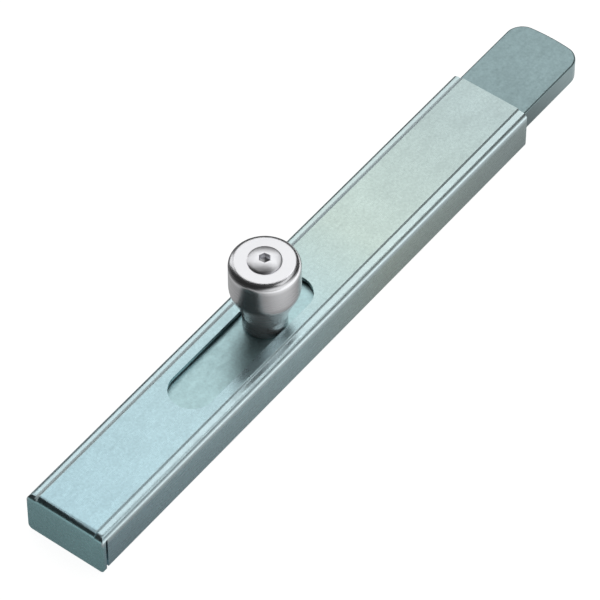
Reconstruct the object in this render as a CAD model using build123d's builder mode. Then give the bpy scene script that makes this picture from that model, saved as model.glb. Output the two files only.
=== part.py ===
"""Box bolt: a folded steel casing with a flat bar that slides out of one end, moved by a knob in a slot.

X runs across the casing, +Y along the throw and +Z up from the door.
The origin is the middle of the fixing holes, on the face that lies on the door.
All sizes are in millimetres.
"""
import os
from math import radians, tan

from build123d import *

# casing
casing_length = 184.2
casing_width = 25.0
shoulder_height = 13.4
sheet = 1.2
bend_radius = 1.8
shoulder_width = 2.75
panel_raise = 0.45
panel_slope_angle = 45.0
panel_edge_radius = 0.35
lip_width = 3.9
flap_relief = 0.1
flap_corner_radius = 1.4

# slot in the raised panel, placed by the end that is nearest the end flap
slot_width = 13.0
slot_length = 54.3
slot_near_end = 45.9

# running clearances
side_clearance = 0.25
top_clearance = 0.2
rail_clearance = 0.3
stop_clearance = 0.1
tray_clearance = 0.15
spring_clearance = 0.25

# bolt bar
bar_thickness = 7.0
bar_corner_radius = 4.6
bar_end_bow = 1.0
bar_edge_chamfer = 0.6
bar_reach = 29.1
bar_back_gap = 1.0

# knob
neck_diameter = 12.2
neck_height = 2.0
grip_diameter = 19.3
flare_height = 8.8
knob_height = 24.6
grip_edge = 2.1
neck_edge = 0.3
knob_place = 37.4

# screw that holds the knob, M5 with a raised countersunk head
screw_diameter = 5.0
screw_length = 30.0
screw_head_diameter = 9.2
screw_head_angle = 90.0
screw_head_rim = 0.4
screw_head_rise = 0.8
screw_end_chamfer = 0.5
socket_across_flats = 3.0
socket_depth = 2.0
socket_turn = 7.4
screw_stand = 0.4
screw_clearance = 0.05
countersink_clearance = 0.04
knob_bore_clearance = 0.15

# tray that closes the back
tray_sheet = 1.2
tray_bend_radius = 1.6
tray_end_gap = 0.4

# pressed seats with M5 threads, one near each end
fixing_end_distance = 15.0
fixing_diameter = 5.0
seat_radius = 6.0
seat_slope = 1.4
collar_radius = 3.6
collar_height = 3.4

# leaf spring and its rivet
spring_sheet = 0.5
spring_width = 14.0
spring_length = 46.0
spring_place = 40.0
spring_foot = 9.0
spring_crest = 12.0
spring_toe = 3.0
spring_bend_radius = 8.0
spring_side_corner = 2.0
rivet_diameter = 3.0
rivet_head_diameter = 5.4
rivet_head_height = 0.9
rivet_clearance = 0.03

# places worked out from the sizes above
half_width = casing_width / 2
near_end = -casing_length / 2
far_end = casing_length / 2
panel_height = shoulder_height + panel_raise
panel_slope_width = panel_raise / tan(radians(panel_slope_angle))
panel_foot = half_width - shoulder_width
panel_half_width = panel_foot - panel_slope_width
wall_start = near_end + bend_radius + flap_relief
inner_half_width = half_width - sheet
inner_bend_radius = bend_radius - sheet
lip_edge = half_width - lip_width

bar_width = 2 * (inner_half_width - side_clearance)
bar_top = shoulder_height - sheet - top_clearance
bar_bottom = bar_top - bar_thickness

slot_middle = near_end + slot_near_end + slot_length / 2
knob_y = slot_middle - slot_length / 2 + knob_place
travel_back = knob_place - neck_diameter / 2 - stop_clearance
travel_out = slot_length - knob_place - neck_diameter / 2 - stop_clearance
bar_tip = far_end + bar_reach
bar_rear = near_end + sheet + bar_back_gap + travel_back

tray_floor = sheet
tray_floor_top = tray_floor + tray_sheet
tray_rail_top = bar_bottom - rail_clearance
tray_half_width = inner_half_width - tray_clearance
fixing_y = casing_length / 2 - fixing_end_distance

knob_top = bar_top + knob_height
screw_edge = knob_top + screw_stand
screw_cone_slope = tan(radians(screw_head_angle / 2))
screw_cone_top = screw_edge - screw_head_rim
screw_cone_depth = (screw_head_diameter - screw_diameter) / 2 / screw_cone_slope
countersink_rise = knob_top - screw_cone_top + countersink_clearance
countersink_radius = screw_head_diameter / 2 + countersink_rise * screw_cone_slope

os.makedirs("parts", exist_ok=True)


# Casing: a folded section, closed at its near end by a flap that is bent down over the walls
def section_outline(inset):
    """Corners of the right half of the section, lower edge first, at a depth below the skin."""
    shift = inset * tan(radians(panel_slope_angle / 2))
    return [
        (half_width - inset, inset),
        (half_width - inset, shoulder_height - inset),
        (panel_foot - shift, shoulder_height - inset),
        (panel_half_width - shift, panel_height - inset),
    ]


def section_face_line(inset, lower_corner, bend):
    """Closed rounded outline of the section at a depth below the skin."""
    right = section_outline(inset)
    left = [(-x, z) for x, z in reversed(right)]
    corners = [lower_corner, bend, panel_edge_radius, panel_edge_radius]
    FilletPolyline(*right, *left, radius=corners + corners[::-1], close=True)


with BuildPart() as end_flap:
    # bent down from the shoulders over the whole width and from the raised panel over its own width
    bends = ((casing_width, shoulder_height), (2 * panel_half_width + panel_slope_width, panel_height))
    for bend_width, top in bends:
        with BuildSketch(Plane.YZ.offset(-bend_width / 2)):
            with BuildLine():
                bend_start = top - bend_radius
                bend_end = near_end + bend_radius
                Polyline((wall_start, top), (wall_start, top - sheet), (bend_end, top - sheet))
                RadiusArc((bend_end, top - sheet), (near_end + sheet, bend_start), -inner_bend_radius)
                Polyline(
                    (near_end + sheet, bend_start),
                    (near_end + sheet, 0),
                    (near_end, 0),
                    (near_end, bend_start),
                )
                RadiusArc((near_end, bend_start), (bend_end, top), bend_radius)
                Line((bend_end, top), (wall_start, top))
            make_face()
        extrude(amount=bend_width)
    # the corners follow the section's rounded outline
    with BuildSketch(Plane.XZ.offset(-near_end)):
        with BuildLine():
            section_face_line(0, flap_corner_radius, bend_radius)
        make_face()
    extrude(amount=-(wall_start - near_end), mode=Mode.INTERSECT)

with BuildPart() as casing:
    with BuildSketch(Plane.XZ.offset(-wall_start)):
        with BuildLine():
            section_face_line(0, bend_radius, bend_radius)
        make_face()
        with BuildLine():
            section_face_line(sheet, inner_bend_radius, inner_bend_radius)
        make_face(mode=Mode.SUBTRACT)
        with Locations((0, sheet / 2)):
            Rectangle(2 * lip_edge, 2 * sheet, mode=Mode.SUBTRACT)
    extrude(amount=-(far_end - wall_start))
    add(end_flap.part)
    with BuildSketch(Plane.XY.offset(panel_height)):
        with Locations((0, slot_middle)):
            SlotOverall(slot_length, slot_width, rotation=90)
    extrude(amount=-2 * sheet, mode=Mode.SUBTRACT)
casing.part.label = "casing"


# Bolt bar: flat steel with a slightly bowed end and rounded corners, drilled for the knob's screw
with BuildPart() as bolt_bar:
    with BuildSketch(Plane.XY.offset(bar_bottom)):
        with BuildLine():
            bar_edge = bar_width / 2
            bow_foot = bar_tip - bar_end_bow
            Polyline((-bar_edge, bow_foot), (-bar_edge, bar_rear), (bar_edge, bar_rear), (bar_edge, bow_foot))
            ThreePointArc((bar_edge, bow_foot), (0, bar_tip), (-bar_edge, bow_foot))
        make_face()
        fillet(vertices().group_by(Axis.Y)[-1], bar_corner_radius)
    extrude(amount=bar_thickness)
    chamfer(faces().filter_by(Axis.Z).edges(), bar_edge_chamfer)
    with Locations((0, knob_y, bar_top)):
        Hole(screw_diameter / 2 + screw_clearance)
bolt_bar.part.label = "bolt_bar"


# Knob: turned, with a neck that passes through the slot, a flared foot and a countersink for the screw
# The handles of its rounded edge are this share of the radius, which draws a quarter circle
round_pull = 0.5523
with BuildPart() as knob:
    with BuildSketch(Plane.XZ.offset(-knob_y)):
        with BuildLine():
            neck = neck_diameter / 2
            grip = grip_diameter / 2
            flare_start = bar_top + neck_height
            flare_end = flare_start + flare_height
            Line((0, bar_top), (neck - neck_edge, bar_top))
            Line((neck - neck_edge, bar_top), (neck, bar_top + neck_edge))
            Line((neck, bar_top + neck_edge), (neck, flare_start))
            flare_rise = grip - neck
            flare_radius = (flare_height**2 + flare_rise**2) / (2 * flare_rise)
            RadiusArc((neck, flare_start), (grip, flare_end), flare_radius)
            Line((grip, flare_end), (grip, knob_top - grip_edge))
            grip_top = (grip - grip_edge, knob_top)
            grip_pull = round_pull * grip_edge
            Bezier(
                (grip, knob_top - grip_edge),
                (grip, knob_top - grip_edge + grip_pull),
                (grip - grip_edge + grip_pull, knob_top),
                grip_top,
            )
            Line(grip_top, (0, knob_top))
            Line((0, knob_top), (0, bar_top))
        make_face()
    revolve(axis=Axis((0, knob_y, 0), (0, 0, 1)))
    with Locations((0, knob_y, knob_top)):
        CounterSinkHole(
            radius=screw_diameter / 2 + knob_bore_clearance,
            counter_sink_radius=countersink_radius,
            counter_sink_angle=screw_head_angle,
        )
knob.part.label = "knob"


# Knob screw: countersunk, with a raised head whose rim stands clear of the knob, and a hex socket
with BuildPart() as knob_screw:
    with BuildSketch(Plane.XZ.offset(-knob_y)):
        with BuildLine():
            head = screw_head_diameter / 2
            shank = screw_diameter / 2
            screw_end = screw_edge - screw_length
            dome_radius = (head**2 + screw_head_rise**2) / (2 * screw_head_rise)
            Polyline(
                (0, screw_edge + screw_head_rise),
                (0, screw_end),
                (shank - screw_end_chamfer, screw_end),
                (shank, screw_end + screw_end_chamfer),
                (shank, screw_cone_top - screw_cone_depth),
                (head, screw_cone_top),
                (head, screw_edge),
            )
            RadiusArc((head, screw_edge), (0, screw_edge + screw_head_rise), -dome_radius)
        make_face()
    revolve(axis=Axis((0, knob_y, 0), (0, 0, 1)))
    with BuildSketch(Plane.XY.offset(screw_edge + screw_head_rise)):
        with Locations((0, knob_y)):
            RegularPolygon(socket_across_flats / 2, 6, major_radius=False, rotation=socket_turn)
    extrude(amount=-socket_depth, mode=Mode.SUBTRACT)
knob_screw.part.label = "knob_screw"


# Tray: its floor lies on the casing's lips, its upturned edges carry the bar
tray_start = near_end + sheet + tray_end_gap
tray_end = far_end - tray_end_gap
with BuildPart() as back_plate:
    with BuildSketch(Plane.XZ.offset(-tray_start)):
        with BuildLine():
            FilletPolyline(
                (-tray_half_width, tray_rail_top),
                (-tray_half_width, tray_floor),
                (tray_half_width, tray_floor),
                (tray_half_width, tray_rail_top),
                radius=tray_bend_radius,
            )
            inner = tray_half_width - tray_sheet
            FilletPolyline(
                (inner, tray_rail_top),
                (inner, tray_floor_top),
                (-inner, tray_floor_top),
                (-inner, tray_rail_top),
                radius=tray_bend_radius - tray_sheet,
            )
            Line((tray_half_width, tray_rail_top), (inner, tray_rail_top))
            Line((-inner, tray_rail_top), (-tray_half_width, tray_rail_top))
        make_face()
    extrude(amount=-(tray_end - tray_start))
    with Locations((0, -fixing_y, 0), (0, fixing_y, 0)):
        # the pressed seat reaches down to the door, and the drawn collar carries the thread
        Cone(seat_radius, seat_radius + seat_slope, tray_floor, align=(Align.CENTER, Align.CENTER, Align.MIN))
    with Locations((0, -fixing_y, tray_sheet), (0, fixing_y, tray_sheet)):
        Cone(
            seat_radius - seat_slope / 2,
            seat_radius + seat_slope / 2,
            tray_floor,
            align=(Align.CENTER, Align.CENTER, Align.MIN),
            mode=Mode.SUBTRACT,
        )
    with Locations((0, -fixing_y, 0), (0, fixing_y, 0)):
        Cylinder(collar_radius, collar_height, align=(Align.CENTER, Align.CENTER, Align.MIN))
        Cylinder(
            fixing_diameter / 2,
            collar_height,
            align=(Align.CENTER, Align.CENTER, Align.MIN),
            mode=Mode.SUBTRACT,
        )
    with Locations((0, spring_place - spring_length / 2 + spring_foot / 2, tray_floor_top)):
        Hole(rivet_diameter / 2 + rivet_clearance)
back_plate.part.label = "back_plate"


# Leaf spring: a foot riveted to the tray, a bow that rises to the bar and a toe that slides on the tray
spring_start = spring_place - spring_length / 2
spring_end = spring_place + spring_length / 2
spring_top = bar_bottom - spring_clearance
rivet_y = spring_start + spring_foot / 2


def spring_line(rise):
    """Side line of the spring, at a height above its underside."""
    FilletPolyline(
        (spring_start, tray_floor_top + rise),
        (spring_start + spring_foot, tray_floor_top + rise),
        (spring_place + spring_foot / 2 - spring_crest / 2, spring_top - spring_sheet + rise),
        (spring_place + spring_foot / 2 + spring_crest / 2, spring_top - spring_sheet + rise),
        (spring_end - spring_toe, tray_floor_top + rise),
        (spring_end, tray_floor_top + spring_sheet + rise),
        radius=spring_bend_radius,
    )


with BuildPart() as friction_spring:
    with BuildSketch(Plane.YZ.offset(-spring_width / 2)):
        with BuildLine():
            spring_line(0)
            spring_line(spring_sheet)
            Line((spring_start, tray_floor_top), (spring_start, tray_floor_top + spring_sheet))
            Line(
                (spring_end, tray_floor_top + spring_sheet),
                (spring_end, tray_floor_top + 2 * spring_sheet),
            )
        make_face()
    extrude(amount=spring_width)
    fillet(friction_spring.edges().filter_by(Axis.Z), spring_side_corner)
    with Locations((0, rivet_y, tray_floor_top + spring_sheet)):
        Hole(rivet_diameter / 2 + rivet_clearance)
friction_spring.part.label = "friction_spring"


# Rivet through the tray and the spring's foot
with BuildPart() as spring_rivet:
    with BuildSketch(Plane.XZ.offset(-rivet_y)):
        with BuildLine():
            rivet_foot = tray_floor - rivet_head_height
            grip_top = tray_floor_top + spring_sheet
            head_edge = rivet_head_diameter / 2
            pin_edge = rivet_diameter / 2
            rivet_dome_radius = (head_edge**2 + rivet_head_height**2) / (2 * rivet_head_height)
            Polyline(
                (0, grip_top + rivet_head_height),
                (0, rivet_foot),
                (head_edge, rivet_foot),
                (head_edge, tray_floor),
                (pin_edge, tray_floor),
                (pin_edge, grip_top),
                (head_edge, grip_top),
            )
            RadiusArc((head_edge, grip_top), (0, grip_top + rivet_head_height), -rivet_dome_radius)
        make_face()
    revolve(axis=Axis((0, rivet_y, 0), (0, 0, 1)))
spring_rivet.part.label = "spring_rivet"


for piece in (casing, bolt_bar, knob, knob_screw, back_plate, friction_spring, spring_rivet):
    export_step(piece.part, f"parts/{piece.part.label}.step")
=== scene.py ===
"""Box bolt: the looks of its pieces, and the light and the camera that show them."""
import math

import bmesh
import bpy
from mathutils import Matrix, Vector


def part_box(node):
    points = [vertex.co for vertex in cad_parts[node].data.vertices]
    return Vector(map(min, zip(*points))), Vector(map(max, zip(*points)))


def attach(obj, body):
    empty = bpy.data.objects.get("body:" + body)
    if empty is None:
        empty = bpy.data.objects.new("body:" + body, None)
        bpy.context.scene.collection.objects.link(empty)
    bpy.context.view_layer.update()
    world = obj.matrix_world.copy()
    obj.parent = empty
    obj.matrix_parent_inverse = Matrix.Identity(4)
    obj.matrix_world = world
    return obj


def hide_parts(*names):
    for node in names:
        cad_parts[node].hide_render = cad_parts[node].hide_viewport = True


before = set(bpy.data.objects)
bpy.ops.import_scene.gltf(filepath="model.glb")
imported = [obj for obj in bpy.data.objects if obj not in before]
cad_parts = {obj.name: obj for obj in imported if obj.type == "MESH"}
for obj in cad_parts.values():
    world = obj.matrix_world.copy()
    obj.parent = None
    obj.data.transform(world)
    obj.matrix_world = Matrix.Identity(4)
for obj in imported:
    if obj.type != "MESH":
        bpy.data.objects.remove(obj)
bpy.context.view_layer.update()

# Places and sizes that the frame gives, in metres
casing_low, casing_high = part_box("casing")
bar_low, bar_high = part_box("bolt_bar")
knob_low, knob_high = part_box("knob")
screw_low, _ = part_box("knob_screw")
knob_middle = (0, (knob_low.y + knob_high.y) / 2)

# Casing
SHEET = 0.0012
BEND_RADIUS = 0.0018
BEND_STEPS = 8
PANEL_RAISE = 0.00045
PANEL_HALF_WIDTH = 0.0093
PANEL_SLOPE_ANGLE = math.radians(45)
PANEL_EDGE = 0.00015
PANEL_EDGE_STEPS = 3
LIP_WIDTH = 0.0039
FLAP_RELIEF = 0.0001
FLAP_CORNER = 0.0014
SLOT_NEAR_END = 0.0459
SLOT_LENGTH = 0.0543
SLOT_WIDTH = 0.0130
CUT_EDGE = 0.00012

# Bolt bar
BAR_CORNER = 0.0046
BAR_CORNER_STEPS = 12
BAR_END_STEPS = 16
BAR_BOW = 0.0010
BAR_EDGE = 0.0006
BAR_EDGE_STEPS = 3
BAR_EDGE_ANGLE = 40.0

# Knob
NECK_RADIUS = 0.0061
NECK_HEIGHT = 0.0045
NECK_EDGE = 0.0003
NECK_EDGE_STEPS = 3
FLARE_HEIGHT = 0.0091
FLARE_HOLLOW = 0.27
FLARE_STEPS = 22
FLARE_BLEND = 0.0003
FLARE_BLEND_HEIGHT = 0.0020
GRIP_EDGE = 0.0021
GRIP_EDGE_STEPS = 10
KNOB_BORE_RADIUS = 0.00265
ROUND_SIDES = 128
TURNED_EDGE = 0.00006

# Screw: the socket's tip is a small cone in its floor, in shares of the socket's radius
SCREW_HEAD_RADIUS = 0.0046
SCREW_HEAD_RIM = 0.0004
SCREW_HEAD_RISE = 0.0008
SCREW_STAND = 0.0004
SCREW_DOME_STEPS = 10
SCREW_DOME_REACH = 0.98
SCREW_SHANK_RADIUS = 0.0025
SCREW_SHANK_CHAMFER = 0.0005
SCREW_EDGE_ANGLE = 25.0
COUNTERSINK_CLEARANCE = 0.00004
SOCKET_ACROSS_FLATS = 0.003
SOCKET_DEPTH = 0.0020
SOCKET_TURN = 7.4
SOCKET_SIDES = 6
SOCKET_TIP_RADIUS = 0.05
SOCKET_TIP_DEPTH = 0.4

# Modelling: how near two places count as one, the part of a face's normal that lies along the
# axis it faces, the angle of a sharp edge in degrees, and the weight of flat faces in the shading
PLACE_SLACK = 1e-6
PLACE_DIGITS = 7
RING_SLACK = 1e-7
FACING = 0.9
EDGE_ANGLE = 35.0
FLAT_WEIGHT = 60

# Camera, fitted to the photograph's outline
CAMERA_AZIMUTH = 37.4
CAMERA_ELEVATION = 49.75
CAMERA_DISTANCE = 1.2015
CAMERA_LENS = 271.9
CAMERA_SENSOR = 36
CAMERA_CLIP = (0.05, 20)
CAMERA_AIM = (0.0, 0.0009, 0.006)
CAMERA_AIM_RIGHT = 0.00325
CAMERA_AIM_UP = 0.00366

# Grain: least and most change of roughness, and the bump's strength and depth
ROLLED_GRAIN = (-0.04, 0.05, 0.10, 0.00004)
TURNED_GRAIN = (-0.03, 0.05, 0.08, 0.00003)

# Noises: scale, detail and roughness, and the spread of values that counts
GRAIN_NOISE = (1.0, 3.0, 0.55)
CLOUD_NOISE = (70.0, 6.0, 0.7)
SPECKLE_NOISE = (1300.0, 2.0, 0.55)
NOISE_SPREAD = (0.3, 0.7)
SPECKLE_SPREAD = (0.25, 0.75)

# Knob plating: satin up to the grip's wall, and painted shade, a darker tint up to the rounded
# edge than above it
KNOB_TINT = (0.84, 0.845, 0.865)
KNOB_ROUGHNESS = 0.24
KNOB_STRETCH = (40, 40, 4000)
SATIN_HEIGHT = (0.0250, 0.0262)
SATIN_METALLIC = 0.88
WALL_SHADE_HEIGHT = (0.0330, 0.0348)
WALL_SHADE_SHARE = 0.72

# Zinc tints at places along Y, from 0 at the first place of the span to 1 at the second
ZINC_SPAN = (-0.10, 0.13)
ZINC_STRETCH = (900, 300, 900)
# The casing's tints are a painted reflection: bluer and more saturated on the end flap, greener
# and greyer further along
CASING_REFLECTION_TINTS = (
    (0.0345, (0.410, 0.780, 0.800)),
    (0.036, (0.468, 0.672, 0.740)),
    (0.40, (0.500, 0.680, 0.712)),
    (0.56, (0.560, 0.680, 0.630)),
    (0.80, (0.495, 0.610, 0.605)),
)
# The bar's tints: lighter where the slot shows it, much darker further along Y
BAR_TINTS = (
    (0.10, (0.490, 0.705, 0.730)),
    (0.64, (0.480, 0.680, 0.700)),
    (0.76, (0.310, 0.425, 0.440)),
)
TRAY_TINTS = ((0.10, (0.430, 0.580, 0.620)), (0.90, (0.450, 0.590, 0.610)))
CLOUD_STRETCH = (1, 0.6, 1)
CLOUD_LEVELS = (0.93, 1.07)
SPECKLE_LEVELS = (0.90, 1.10)

# Painted highlights on the casing's zinc: the upper bends, the shoulders and the panel's left
# step
CASING_HIGHLIGHT_TINT = (0.72, 0.87, 0.90)
FOLD_ACROSS = (0.0117, 0.0123)
FOLD_HEIGHT = (0.0102, 0.0116)
SHOULDER_ACROSS = (0.0089, 0.0096)
SHOULDER_HEIGHT = (0.0122, 0.0130)
SHOULDER_HIGHLIGHT = 0.5
STEP_START = (-0.0104, -0.0101)
STEP_END = (-0.0093, -0.0090)
STEP_HEIGHT = (0.0128, 0.0129)
STEP_METALLIC = 0.1

# Painted shade on the bar's sides, and the heights between which it turns into the bar's top
BAR_SIDE_SHADE_TINT = (0.230, 0.310, 0.320)
BAR_SIDE_HEIGHT = (0.01190, 0.01198)

# Lamps: name, azimuth and elevation in degrees, size, and power as a share of pi times the area
LAMP_DISTANCE = 0.9
LAMPS = (
    ("softbox_back_left", -37.0, 50.0, (0.84, 0.74), 1.05),
    ("softbox_right_back", 14.0, 58.0, (0.40, 0.30), 0.45),
    ("softbox_right", 65.0, 54.0, (0.62, 0.36), 0.9),
    ("softbox_left", -84.0, 22.0, (0.36, 0.78), 0.95),
)

# Surroundings: a dim room with one bright side, given by its azimuth and elevation, and a floor
# that the metal sees with a painted shadow: darker by the part, in front of it and to its left
ROOM_BRIGHT_SIDE = (97.0, -18.0)
ROOM_FADE = (0.30, 0.90)
ROOM_LEVELS = (0.02, 0.90)
FLOOR_SIZE = 6
FLOOR_EDGE = (-0.002, 0.050)
FLOOR_EDGE_LEVELS = (0.32, 1.20)
FLOOR_FRONT_FADE = (-0.20, 0.02)
FLOOR_FRONT = 0.30
FLOOR_LEFT_FADE = (-0.055, -0.020)
FLOOR_LEFT = 0.10
FLOOR_WHITE = 0.93
FLOOR_PAPER = 0.40
FLOOR_ROUGHNESS = 0.9


# Modelling helpers
def activate(piece):
    """Makes a piece the only selected one and the active one."""
    bpy.ops.object.select_all(action="DESELECT")
    piece.select_set(True)
    bpy.context.view_layer.objects.active = piece


def edit(piece):
    """Opens a piece in edit mode."""
    activate(piece)
    bpy.ops.object.mode_set(mode="EDIT")


def close_edit():
    bpy.ops.object.mode_set(mode="OBJECT")


def select(kind, test):
    """Selects the open mesh's faces, edges or vertices that pass a test, and nothing else."""
    mode = {"faces": "FACE", "edges": "EDGE", "verts": "VERT"}[kind]
    bpy.ops.mesh.select_mode(type=mode)
    bpy.ops.mesh.select_all(action="DESELECT")
    mesh = bmesh.from_edit_mesh(bpy.context.edit_object.data)
    for element in getattr(mesh, kind):
        element.select = test(element)
    mesh.select_flush_mode()
    bmesh.update_edit_mesh(bpy.context.edit_object.data)


def vertex_places(selected_only=False):
    """Places of the open mesh's vertices."""
    mesh = bmesh.from_edit_mesh(bpy.context.edit_object.data)
    return [v.co.copy() for v in mesh.verts if v.select or not selected_only]


def near(a, b, slack=PLACE_SLACK):
    return abs(a - b) < slack


def all_verts(edge, test):
    return all(test(v.co) for v in edge.verts)


def runs_along(edge, axis):
    """Whether an edge keeps its place on both of the other axes."""
    first, second = (v.co for v in edge.verts)
    return all(near(first[other], second[other]) for other in range(3) if other != axis)


def bisect_selected(across):
    """Divides the selected faces at a place along X."""
    bpy.ops.mesh.bisect(plane_co=(across, 0, 0), plane_no=(1, 0, 0))


def bevel_selected(width, steps):
    """Rounds the selected edges."""
    bpy.ops.mesh.bevel(
        offset=width, segments=steps, profile=0.5, affect="EDGES", clamp_overlap=False
    )


def finish_primitive(name):
    """Names the primitive just added, and puts its place into its mesh."""
    bpy.ops.object.transform_apply(location=True, rotation=True, scale=True)
    bpy.context.object.name = name
    return bpy.context.object


def add_box(name, low, high):
    """A box between two corners."""
    bpy.ops.mesh.primitive_cube_add(size=1, location=(low + high) / 2, scale=high - low)
    return finish_primitive(name)


def add_cylinder(name, radius, low, height, place, sides=ROUND_SIDES, turn=0.0):
    """An upright cylinder above a height."""
    bpy.ops.mesh.primitive_cylinder_add(
        vertices=sides,
        radius=radius,
        depth=height,
        location=(*place, low + height / 2),
        rotation=(0, 0, turn),
        end_fill_type="NGON",
    )
    return finish_primitive(name)


def apply_modifier(piece, kind, **settings):
    """Adds a modifier, sets it and applies it."""
    activate(piece)
    bpy.ops.object.modifier_add(type=kind)
    modifier = piece.modifiers[-1]
    for key, value in settings.items():
        setattr(modifier, key, value)
    bpy.ops.object.modifier_apply(modifier=modifier.name)


def combine(piece, other, operation):
    """Changes a piece by another, which is then removed."""
    apply_modifier(piece, "BOOLEAN", object=other, operation=operation, solver="EXACT")
    bpy.data.objects.remove(other)


def soften(piece, width, steps=2, angle=EDGE_ANGLE):
    """Breaks the sharp edges and keeps the flats flat in the shading."""
    apply_modifier(
        piece,
        "BEVEL",
        width=width,
        segments=steps,
        limit_method="ANGLE",
        angle_limit=math.radians(angle),
        use_clamp_overlap=True,
        harden_normals=False,
    )
    activate(piece)
    bpy.ops.object.shade_smooth_by_angle(angle=math.radians(angle))
    apply_modifier(piece, "WEIGHTED_NORMAL", keep_sharp=True, weight=FLAT_WEIGHT)


# Casing: a folded sheet with a raised panel, turned-in lower edges and an end flap
def section_block(name, start, end, inset, lower_radius, upper_radius):
    """A solid of the casing's outline, at a depth below its skin, between two places along it."""
    half = casing_high.x - inset
    shoulder = casing_high.z - PANEL_RAISE - inset
    ridge = PANEL_HALF_WIDTH - inset * math.tan(PANEL_SLOPE_ANGLE / 2)
    foot = ridge + PANEL_RAISE / math.tan(PANEL_SLOPE_ANGLE)
    lines = (foot, ridge)
    block = add_box(name, Vector((-half, start, inset)), Vector((half, end, shoulder)))
    edit(block)
    for side in (-1, 1):
        for line in lines:
            select("faces", lambda f: f.normal.z > FACING)
            bisect_selected(side * line)
    select("faces", lambda f: f.normal.z > FACING and abs(f.calc_center_median().x) < ridge)
    bpy.ops.transform.translate(value=(0, 0, PANEL_RAISE))
    for height, radius in ((inset, lower_radius), (shoulder, upper_radius)):
        select(
            "edges",
            lambda e: all_verts(e, lambda v: near(abs(v.x), half) and near(v.z, height)),
        )
        bevel_selected(radius, BEND_STEPS)
    select(
        "edges",
        lambda e: runs_along(e, 1) and any(near(abs(e.verts[0].co.x), line) for line in lines),
    )
    bevel_selected(PANEL_EDGE, PANEL_EDGE_STEPS)
    close_edit()
    return block


def rounded_block(name, low, high, radius):
    """A box whose upper edge is rounded at the end that lies lowest along Y."""
    block = add_box(name, low, high)
    edit(block)
    select("edges", lambda e: all_verts(e, lambda v: near(v.y, low.y) and near(v.z, high.z)))
    bevel_selected(radius, BEND_STEPS)
    close_edit()
    return block


def folded_strip(name, half, top, start, end):
    """A strip of sheet that runs along the top and is bent down at its start."""
    strip = rounded_block(name, Vector((-half, start, 0)), Vector((half, end, top)), BEND_RADIUS)
    spare = 2 * SHEET
    inside_low = Vector((-half - spare, start + SHEET, -spare))
    inside_high = Vector((half + spare, end + spare, top - SHEET))
    inside = rounded_block("strip_cutter", inside_low, inside_high, BEND_RADIUS - SHEET)
    combine(strip, inside, "DIFFERENCE")
    return strip


def model_casing():
    near_end, far_end = casing_low.y, casing_high.y
    wall_start = near_end + BEND_RADIUS + FLAP_RELIEF
    half = casing_high.x
    spare = SHEET

    casing = section_block("folded_casing", wall_start, far_end, 0, BEND_RADIUS, BEND_RADIUS)
    inner_radius = BEND_RADIUS - SHEET
    inner_start, inner_end = wall_start - spare, far_end + spare
    inside = section_block(
        "inside_cutter", inner_start, inner_end, SHEET, inner_radius, inner_radius
    )
    combine(casing, inside, "DIFFERENCE")
    lip_edge = half - LIP_WIDTH
    opening_low = Vector((-lip_edge, near_end, -spare))
    opening_high = Vector((lip_edge, far_end + spare, 2 * spare))
    combine(casing, add_box("lip_cutter", opening_low, opening_high), "DIFFERENCE")

    # the end flap is bent down from the shoulders, and from the panel over the panel's own width
    shoulder = casing_high.z - PANEL_RAISE
    panel_middle = PANEL_HALF_WIDTH + PANEL_RAISE / math.tan(PANEL_SLOPE_ANGLE) / 2
    flap_end = wall_start + spare
    flap = folded_strip("end_flap", half, shoulder, near_end, flap_end)
    panel_fold = folded_strip("panel_fold", panel_middle, casing_high.z, near_end, flap_end)
    combine(flap, panel_fold, "UNION")
    outline_start = near_end - spare
    outline = section_block(
        "flap_outline", outline_start, wall_start, 0, FLAP_CORNER, BEND_RADIUS
    )
    combine(flap, outline, "INTERSECT")
    combine(casing, flap, "UNION")

    # the slot, round at both ends
    slot_radius = SLOT_WIDTH / 2
    first_centre = near_end + SLOT_NEAR_END + slot_radius
    straight = SLOT_LENGTH - SLOT_WIDTH
    slot_low = shoulder - 2 * spare
    slot = add_cylinder("slot_cutter", slot_radius, slot_low, 4 * spare, (0, first_centre))
    edit(slot)
    select("verts", lambda v: v.co.y > first_centre + PLACE_SLACK)
    bpy.ops.transform.translate(value=(0, straight, 0))
    close_edit()
    combine(casing, slot, "DIFFERENCE")
    soften(casing, CUT_EDGE)
    return casing


# Bolt bar: flat bar with round corners, a bowed end and broken edges
def model_bar():
    bar = add_box("flat_bar", bar_low, bar_high)
    half = bar_high.x
    tip = bar_high.y
    edit(bar)
    select("edges", lambda e: runs_along(e, 2) and near(e.verts[0].co.y, tip))
    bevel_selected(BAR_CORNER, BAR_CORNER_STEPS)
    straight = half - BAR_CORNER
    for step in range(1, BAR_END_STEPS):
        select("faces", lambda f: f.normal.y > FACING)
        bisect_selected(-straight + 2 * straight * step / BAR_END_STEPS)
    bow_start = tip - BAR_CORNER - PLACE_SLACK
    columns = {round(v.x, PLACE_DIGITS) for v in vertex_places() if v.y > bow_start}
    for across in sorted(columns):
        select("verts", lambda v: near(v.co.x, across) and v.co.y > bow_start)
        bpy.ops.transform.translate(value=(0, -BAR_BOW * (across / half) ** 2, 0))
    close_edit()
    soften(bar, BAR_EDGE, BAR_EDGE_STEPS, BAR_EDGE_ANGLE)
    return bar


# Turned pieces: rings are added by extruding and scaling the top or bottom face
def is_disc(face, height):
    """Whether a face is the level, many-sided one at a height."""
    level = abs(face.normal.z) > FACING and len(face.verts) > 4
    return level and near(face.calc_center_median().z, height, RING_SLACK)


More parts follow.
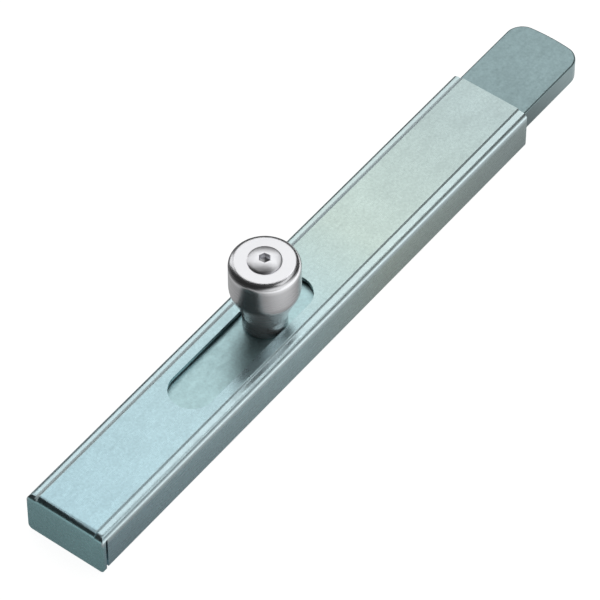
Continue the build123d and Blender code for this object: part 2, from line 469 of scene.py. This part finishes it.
def grow(piece, height, rings):
    """Extrudes the face at a height through rings of (radius, height) round the knob's axis."""
    x, y = knob_middle
    edit(piece)
    select("faces", lambda f: is_disc(f, height))
    radius = max(Vector((v.x - x, v.y - y)).length for v in vertex_places(selected_only=True))
    for next_radius, next_height in rings:
        move = {"value": (0, 0, next_height - height)}
        bpy.ops.mesh.extrude_region_move(TRANSFORM_OT_translate=move)
        scale = next_radius / radius
        bpy.ops.transform.resize(value=(scale, scale, 1), center_override=(x, y, next_height))
        radius, height = next_radius, next_height
    close_edit()


def edge_rings(start, end, steps):
    """Rings round a quarter turn, from upright at the start to level at the end."""
    rings = []
    for step in range(1, steps + 1):
        turn = math.radians(90 * step / steps)
        across = end[0] + (start[0] - end[0]) * math.cos(turn)
        rings.append((across, start[1] + (end[1] - start[1]) * math.sin(turn)))
    return rings


def flare_rings(start, end, steps):
    """Rings along the flare, a slightly hollow cone that runs softly into the wall."""
    rise, height = end[0] - start[0], end[1] - start[1]
    rings = []
    for step in range(1, steps + 1):
        share = step / steps * (1 + FLARE_BLEND_HEIGHT / height)
        cone = start[0] + rise * (share - FLARE_HOLLOW * share * (1 - share))
        blend = FLARE_BLEND * math.log(1 + math.exp((end[0] - cone) / FLARE_BLEND))
        rings.append((end[0] - blend, start[1] + height * share))
    return rings


def dome_rings(rim, rise, steps):
    """Rings of a shallow dome above a rim, which end just short of its axis."""
    arc = (rim[0] ** 2 + rise**2) / (2 * rise)
    rings = []
    for step in range(1, steps + 1):
        across = rim[0] * (1 - SCREW_DOME_REACH * step / steps)
        rings.append((across, rim[1] + rise - arc + math.sqrt(arc**2 - across**2)))
    return rings


def model_knob():
    grip = (knob_high.x - knob_low.x) / 2
    foot, top = knob_low.z, knob_high.z
    flare_start = foot + NECK_HEIGHT
    flare_end = flare_start + FLARE_HEIGHT
    countersink = SCREW_HEAD_RADIUS + SCREW_HEAD_RIM - SCREW_STAND + COUNTERSINK_CLEARANCE

    knob = add_cylinder("turned_knob", NECK_RADIUS, foot, NECK_HEIGHT, knob_middle)
    rings = flare_rings((NECK_RADIUS, flare_start), (grip, flare_end), FLARE_STEPS)
    rings += [(grip, top - GRIP_EDGE)]
    rings += edge_rings((grip, top - GRIP_EDGE), (grip - GRIP_EDGE, top), GRIP_EDGE_STEPS)
    rings += [(countersink, top), (KNOB_BORE_RADIUS, top - countersink + KNOB_BORE_RADIUS)]
    grow(knob, flare_start, rings)
    edit(knob)
    select("edges", lambda e: all_verts(e, lambda v: near(v.z, foot)))
    bevel_selected(NECK_EDGE, NECK_EDGE_STEPS)
    close_edit()

    # the bore starts below the foot, ends inside the countersink, and just misses its lower edge
    radius = KNOB_BORE_RADIUS - PLACE_SLACK
    bore = add_cylinder("bore_cutter", radius, foot - SHEET, top - foot, knob_middle)
    combine(knob, bore, "DIFFERENCE")
    soften(knob, TURNED_EDGE)
    return knob


def model_screw():
    edge_level = knob_high.z + SCREW_STAND
    cone_top = edge_level - SCREW_HEAD_RIM
    cone_foot = cone_top - SCREW_HEAD_RADIUS + SCREW_SHANK_RADIUS
    shank_foot = screw_low.z + SCREW_SHANK_CHAMFER
    shank = cone_foot - shank_foot
    screw = add_cylinder("countersunk_screw", SCREW_SHANK_RADIUS, shank_foot, shank, knob_middle)
    grow(screw, shank_foot, [(SCREW_SHANK_RADIUS - SCREW_SHANK_CHAMFER, screw_low.z)])
    rings = [(SCREW_HEAD_RADIUS, cone_top), (SCREW_HEAD_RADIUS, edge_level)]
    rings += dome_rings((SCREW_HEAD_RADIUS, edge_level), SCREW_HEAD_RISE, SCREW_DOME_STEPS)
    grow(screw, cone_foot, rings)

    radius = SOCKET_ACROSS_FLATS / math.sqrt(3)
    floor = edge_level + SCREW_HEAD_RISE - SOCKET_DEPTH
    turn = math.radians(SOCKET_TURN - 90)
    socket = add_cylinder(
        "socket_cutter", radius, floor, 2 * SOCKET_DEPTH, knob_middle, SOCKET_SIDES, turn
    )
    grow(socket, floor, [(radius * SOCKET_TIP_RADIUS, floor - radius * SOCKET_TIP_DEPTH)])
    combine(screw, socket, "DIFFERENCE")
    soften(screw, TURNED_EDGE, angle=SCREW_EDGE_ANGLE)
    return screw


# Node helpers: tree is the node tree of a material or of the world
def give(tree, node, key, value):
    """Links an output to a node's input, or sets the input to a plain value."""
    if isinstance(value, bpy.types.NodeSocket):
        tree.links.new(value, node.inputs[key])
    else:
        node.inputs[key].default_value = value


def add_node(tree, kind, inputs=None, **settings):
    """Adds a node, and gives it its settings and then its inputs."""
    node = tree.nodes.new(kind)
    for key, value in settings.items():
        setattr(node, key, value)
    for key, value in (inputs or {}).items():
        give(tree, node, key, value)
    return node


def shader_of(tree):
    return tree.nodes["Principled BSDF"]


def object_place(tree, stretch=(1, 1, 1)):
    """Object coordinates, stretched to give a pattern its direction."""
    coordinate = add_node(tree, "ShaderNodeTexCoord")
    inputs = {"Scale": stretch, "Vector": coordinate.outputs["Object"]}
    return add_node(tree, "ShaderNodeMapping", inputs).outputs["Vector"]


def object_axes(tree):
    """The three object coordinates, each by its letter."""
    return add_node(tree, "ShaderNodeSeparateXYZ", {"Vector": object_place(tree)}).outputs


def noise(tree, kind, stretch=(1, 1, 1)):
    """A noise of one kind (scale, detail, roughness) in stretched object coordinates."""
    inputs = dict(zip(("Scale", "Detail", "Roughness"), kind))
    inputs["Vector"] = object_place(tree, stretch)
    return add_node(tree, "ShaderNodeTexNoise", inputs).outputs["Fac"]


def ramp(tree, value, stops):
    """A colour ramp with (position, colour) stops."""
    node = add_node(tree, "ShaderNodeValToRGB", {"Fac": value})
    elements = node.color_ramp.elements
    while len(elements) < len(stops):
        elements.new(0.5)
    for element, (position, colour) in zip(elements, stops):
        element.position = position
        element.color = (*colour, 1)
    return node.outputs["Color"]


def span(tree, value, places, levels=(0.0, 1.0), soft=False):
    """Leads a value from one level to the other between two places."""
    inputs = {
        "From Min": places[0],
        "From Max": places[1],
        "To Min": levels[0],
        "To Max": levels[1],
        "Value": value,
    }
    blend = "SMOOTHSTEP" if soft else "LINEAR"
    node = add_node(tree, "ShaderNodeMapRange", inputs, interpolation_type=blend)
    return node.outputs["Result"]


def math_node(tree, operation, *values):
    inputs = dict(enumerate(values))
    return add_node(tree, "ShaderNodeMath", inputs, operation=operation).outputs["Value"]


def product(tree, first, *others):
    for other in others:
        first = math_node(tree, "MULTIPLY", first, other)
    return first


def scaled_colour(tree, colour, factor):
    inputs = {0: colour, "Scale": factor}
    return add_node(tree, "ShaderNodeVectorMath", inputs, operation="SCALE").outputs["Vector"]


def mix_colours(tree, factor, colour, tint):
    inputs = {"Factor": factor, "A": colour, "B": (*tint, 1)}
    return add_node(tree, "ShaderNodeMix", inputs, data_type="RGBA").outputs["Result"]


def mix_shaders(tree, factor, first, second):
    inputs = {"Fac": factor, 1: first, 2: second}
    return add_node(tree, "ShaderNodeMixShader", inputs).outputs["Shader"]


# Materials
def new_material(name, base, metallic, roughness):
    """A material and its node tree."""
    material = bpy.data.materials.new(name)
    material.use_nodes = True
    tree = material.node_tree
    shader = shader_of(tree)
    give(tree, shader, "Base Color", (*base, 1))
    give(tree, shader, "Metallic", metallic)
    give(tree, shader, "Roughness", roughness)
    return material, tree


def add_grain(tree, stretch, roughness, grain):
    """Fine marks along one direction, which vary the roughness and stand out a little."""
    shader = shader_of(tree)
    least, most, strength, depth = grain
    marks = noise(tree, GRAIN_NOISE, stretch)
    levels = (roughness + least, roughness + most)
    give(tree, shader, "Roughness", span(tree, marks, NOISE_SPREAD, levels))
    inputs = {"Strength": strength, "Distance": depth, "Height": marks}
    bump = add_node(tree, "ShaderNodeBump", inputs)
    give(tree, shader, "Normal", bump.outputs["Normal"])


def zinc_plate(name, along, roughness, change=None):
    """Zinc plating: tints along Y, a painted reflection on the casing, that may change further,
    faint clouds and a rolled grain.
    """
    material, tree = new_material(name, along[0][1], 1.0, roughness)
    axes = object_axes(tree)
    tint = ramp(tree, span(tree, axes["Y"], ZINC_SPAN), along)
    clouds = span(tree, noise(tree, CLOUD_NOISE, CLOUD_STRETCH), NOISE_SPREAD, CLOUD_LEVELS)
    speckle = span(tree, noise(tree, SPECKLE_NOISE), SPECKLE_SPREAD, SPECKLE_LEVELS)
    tint = scaled_colour(tree, tint, product(tree, clouds, speckle))
    if change:
        tint = change(tree, axes, tint)
    give(tree, shader_of(tree), "Base Color", tint)
    add_grain(tree, ZINC_STRETCH, roughness, ROLLED_GRAIN)
    return material


def paint_casing_highlights(tree, axes, tint):
    """Painted highlights: paler zinc on the casing's upper bends and shoulders, and a pale,
    nearly non-metallic left step.
    """
    across = math_node(tree, "ABSOLUTE", axes["X"])
    fold = product(
        tree,
        span(tree, across, FOLD_ACROSS, soft=True),
        span(tree, axes["Z"], FOLD_HEIGHT, soft=True),
    )
    shoulder = product(
        tree,
        span(tree, across, SHOULDER_ACROSS, (0.0, SHOULDER_HIGHLIGHT), soft=True),
        span(tree, axes["Z"], SHOULDER_HEIGHT, soft=True),
    )
    step = product(
        tree,
        span(tree, axes["X"], STEP_START),
        span(tree, axes["X"], STEP_END, (1.0, 0.0)),
        span(tree, axes["Z"], STEP_HEIGHT),
    )
    metallic = span(tree, step, (0.0, 1.0), (1.0, STEP_METALLIC))
    give(tree, shader_of(tree), "Metallic", metallic)
    highlight = math_node(tree, "MAXIMUM", math_node(tree, "MAXIMUM", fold, shoulder), step)
    return mix_colours(tree, highlight, tint, CASING_HIGHLIGHT_TINT)


def paint_bar_side_shade(tree, axes, tint):
    """Painted shade: darker zinc on the bar's sides."""
    below = span(tree, axes["Z"], BAR_SIDE_HEIGHT, (1.0, 0.0))
    return mix_colours(tree, below, tint, BAR_SIDE_SHADE_TINT)


def bright_plate(name, tint, roughness, stretch):
    """Bright metal with faint marks along one direction."""
    material, tree = new_material(name, tint, 1.0, roughness)
    add_grain(tree, stretch, roughness, TURNED_GRAIN)
    return material


def bright_knob_plate():
    """Bright plate, satin up to the grip's wall, with painted shade: darker up to its rounded
    edge than above.
    """
    material = bright_plate("bright_plate_knob", KNOB_TINT, KNOB_ROUGHNESS, KNOB_STRETCH)
    tree = material.node_tree
    shader = shader_of(tree)
    height = object_axes(tree)["Z"]
    give(tree, shader, "Metallic", span(tree, height, SATIN_HEIGHT, (SATIN_METALLIC, 1.0)))
    dull = tuple(WALL_SHADE_SHARE * value for value in KNOB_TINT)
    brightness = span(tree, height, WALL_SHADE_HEIGHT, soft=True)
    give(tree, shader, "Base Color", ramp(tree, brightness, ((0.0, dull), (1.0, KNOB_TINT))))
    return material


def paint(piece, material):
    """Makes a material the only one of a piece."""
    piece.data.materials.clear()
    piece.data.materials.append(material)


def dress(piece, material, body, node):
    """Gives a new piece its material, the body that it rides on and the node that it replaces."""
    paint(piece, material)
    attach(piece, body)
    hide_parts(node)


# Camera, lamps, floor and room
def view_axes():
    """Directions from the part to the camera, to the picture's right and upwards in it."""
    azimuth, elevation = math.radians(CAMERA_AZIMUTH), math.radians(CAMERA_ELEVATION)
    level = math.cos(elevation)
    back = Vector((math.sin(azimuth) * level, -math.cos(azimuth) * level, math.sin(elevation)))
    right = Vector((math.cos(azimuth), math.sin(azimuth), 0))
    return back, right, back.cross(right)


def direction(azimuth, elevation):
    """Unit vector: azimuth from +Y towards +X, both in degrees."""
    azimuth, elevation = math.radians(azimuth), math.radians(elevation)
    level = math.cos(elevation)
    return Vector((math.sin(azimuth) * level, math.cos(azimuth) * level, math.sin(elevation)))


def place_facing(name, data, target, towards, distance):
    """Adds a camera or a lamp that faces a target from a direction."""
    thing = bpy.data.objects.new(name, data)
    bpy.context.scene.collection.objects.link(thing)
    thing.location = target + towards * distance
    thing.rotation_mode = "QUATERNION"
    thing.rotation_quaternion = (-towards).to_track_quat("-Z", "Y")
    return thing


def add_camera():
    back, right, up = view_axes()
    data = bpy.data.cameras.new("camera")
    data.lens = CAMERA_LENS
    data.sensor_width = CAMERA_SENSOR
    data.clip_start, data.clip_end = CAMERA_CLIP
    aim = Vector(CAMERA_AIM) + right * CAMERA_AIM_RIGHT + up * CAMERA_AIM_UP
    camera = place_facing("camera", data, aim, back, CAMERA_DISTANCE)
    bpy.context.scene.camera = camera


def add_lamps():
    """Rectangular lamps that face the part."""
    for name, azimuth, elevation, size, level in LAMPS:
        data = bpy.data.lights.new(name, "AREA")
        data.shape = "RECTANGLE"
        data.size, data.size_y = size
        data.energy = level * math.pi * size[0] * size[1]
        towards = direction(azimuth, elevation)
        place_facing(name, data, Vector(CAMERA_AIM), towards, LAMP_DISTANCE)


def painted_floor_shadow(tree):
    """How bright the metal sees the floor, a painted shadow: darker by the part, in front of it
    and to its left.
    """
    axes = object_axes(tree)
    beside = math_node(tree, "SUBTRACT", math_node(tree, "ABSOLUTE", axes["X"]), casing_high.x)
    beyond = math_node(tree, "SUBTRACT", math_node(tree, "ABSOLUTE", axes["Y"]), casing_high.y)
    away = math_node(tree, "MAXIMUM", beside, beyond)
    return product(
        tree,
        span(tree, away, FLOOR_EDGE, FLOOR_EDGE_LEVELS, soft=True),
        span(tree, axes["Y"], FLOOR_FRONT_FADE, (FLOOR_FRONT, 1.0), soft=True),
        span(tree, axes["X"], FLOOR_LEFT_FADE, (FLOOR_LEFT, 1.0), soft=True),
    )


def add_floor():
    """A white floor that takes the part's soft shadow, that the metal sees with a painted shadow,
    and that is clear from below.
    """
    bpy.ops.mesh.primitive_plane_add(size=FLOOR_SIZE, location=(0, 0, 0))
    floor = bpy.context.object
    floor.name = "studio_floor"
    material, tree = new_material("pale_floor", (FLOOR_PAPER,) * 3, 0.0, FLOOR_ROUGHNESS)
    paper = add_node(tree, "ShaderNodeEmission", {"Strength": FLOOR_WHITE})
    inputs = {0: paper.outputs["Emission"], 1: shader_of(tree).outputs["BSDF"]}
    shaded = add_node(tree, "ShaderNodeAddShader", inputs)
    # Glossy rays see the floor as a glow at that painted level
    in_metal = add_node(tree, "ShaderNodeEmission", {"Strength": painted_floor_shadow(tree)})
    glossy_ray = add_node(tree, "ShaderNodeLightPath").outputs["Is Glossy Ray"]
    by_ray = mix_shaders(tree, glossy_ray, shaded.outputs[0], in_metal.outputs[0])
    underside = add_node(tree, "ShaderNodeNewGeometry").outputs["Backfacing"]
    clear = add_node(tree, "ShaderNodeBsdfTransparent")
    surface = mix_shaders(tree, underside, by_ray, clear.outputs["BSDF"])
    give(tree, tree.nodes["Material Output"], "Surface", surface)
    paint(floor, material)


def set_world():
    """White to the camera, and to everything else a dim room with one bright side."""
    world = bpy.data.worlds.new("studio")
    bpy.context.scene.world = world
    world.use_nodes = True
    tree = world.node_tree
    place = add_node(tree, "ShaderNodeTexCoord").outputs["Generated"]
    inputs = {1: direction(*ROOM_BRIGHT_SIDE), 0: place}
    facing = add_node(tree, "ShaderNodeVectorMath", inputs, operation="DOT_PRODUCT")
    level = span(tree, facing.outputs["Value"], ROOM_FADE, ROOM_LEVELS, soft=True)
    white = (1, 1, 1, 1)
    room = tree.nodes["Background"]
    give(tree, room, "Color", white)
    give(tree, room, "Strength", level)
    backdrop = add_node(tree, "ShaderNodeBackground", {"Color": white})
    camera_ray = add_node(tree, "ShaderNodeLightPath").outputs["Is Camera Ray"]
    surface = mix_shaders(tree, camera_ray, room.outputs[0], backdrop.outputs[0])
    give(tree, tree.nodes["World Output"], "Surface", surface)


bpy.context.scene.view_settings.view_transform = "Standard"

# The casing's zinc carries painted reflection tints and painted highlights on its bends,
# shoulders and left step
casing_zinc = zinc_plate("zinc_plate_casing", CASING_REFLECTION_TINTS, 0.28, paint_casing_highlights)
# The bar's zinc carries painted shade on its sides
bar_zinc = zinc_plate("zinc_plate_bar", BAR_TINTS, 0.36, paint_bar_side_shade)
tray_zinc = zinc_plate("zinc_plate_tray", TRAY_TINTS, 0.32)
knob_plate = bright_knob_plate()
screw_plate = bright_plate("bright_plate_screw", (0.95, 0.955, 0.98), 0.32, (600, 600, 600))
plain_steel = bright_plate("plain_steel", (0.55, 0.56, 0.57), 0.28, (900, 900, 900))
spring_steel = bright_plate("spring_steel", (0.34, 0.37, 0.42), 0.30, (1500, 60, 1500))

dress(model_casing(), casing_zinc, "casing_body", "casing")
dress(model_bar(), bar_zinc, "bolt_body", "bolt_bar")
dress(model_knob(), knob_plate, "bolt_body", "knob")
dress(model_screw(), screw_plate, "bolt_body", "knob_screw")
paint(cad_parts["back_plate"], tray_zinc)
paint(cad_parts["friction_spring"], spring_steel)
paint(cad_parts["spring_rivet"], plain_steel)

add_floor()
set_world()
add_lamps()
add_camera()
